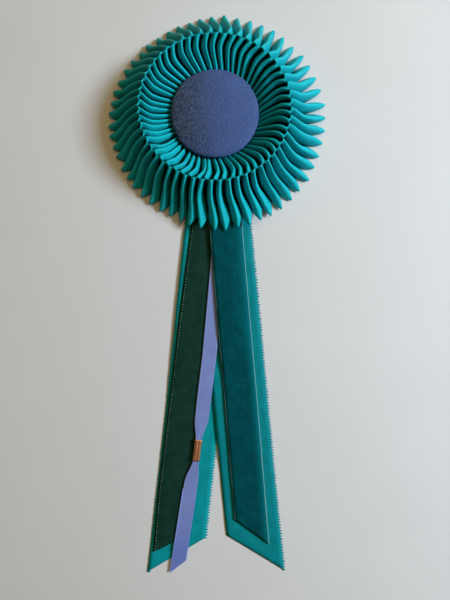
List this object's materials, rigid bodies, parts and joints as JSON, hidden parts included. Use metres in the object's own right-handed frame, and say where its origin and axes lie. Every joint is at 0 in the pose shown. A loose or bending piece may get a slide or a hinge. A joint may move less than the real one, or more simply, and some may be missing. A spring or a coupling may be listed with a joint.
{
  "type": "ribbon rosette",
  "caption": "Flat-lying ribbon rosette: a pleated frill round a covered button, with layered ribbon tails, a small crimp and a pin on its back.",
  "frame": {"origin": "on the resting plane, under the middle of the covered button, where the pin's back meets what it is worn on", "axes": "+Z out of the rosette's face, +Y towards the top of the rosette, away from the ribbon tails"},
  "size_m": [0.1428, 0.3702, 0.0283],
  "materials": {
    "frill_ribbon": "satin ribbon",
    "button_cloth": "short nap",
    "teal_ribbon": "woven ribbon with toothed edges",
    "green_ribbon": "fine woven ribbon with a dotted stitched edge",
    "velvet": "velvet ribbon",
    "lavender_satin": "satin",
    "copper": "pressed copper",
    "plated_steel": "plain plated"
  },
  "bodies": {
    "root": {"pleated_frill": "frill_ribbon", "covered_button": "button_cloth", "left_tail": "teal_ribbon", "right_tail": "teal_ribbon", "green_ribbon": "green_ribbon", "velvet_ribbon": "velvet", "lavender_ribbon": "lavender_satin", "copper_crimp": "copper", "pin_back": "plated_steel"}
  },
  "joints": []
}
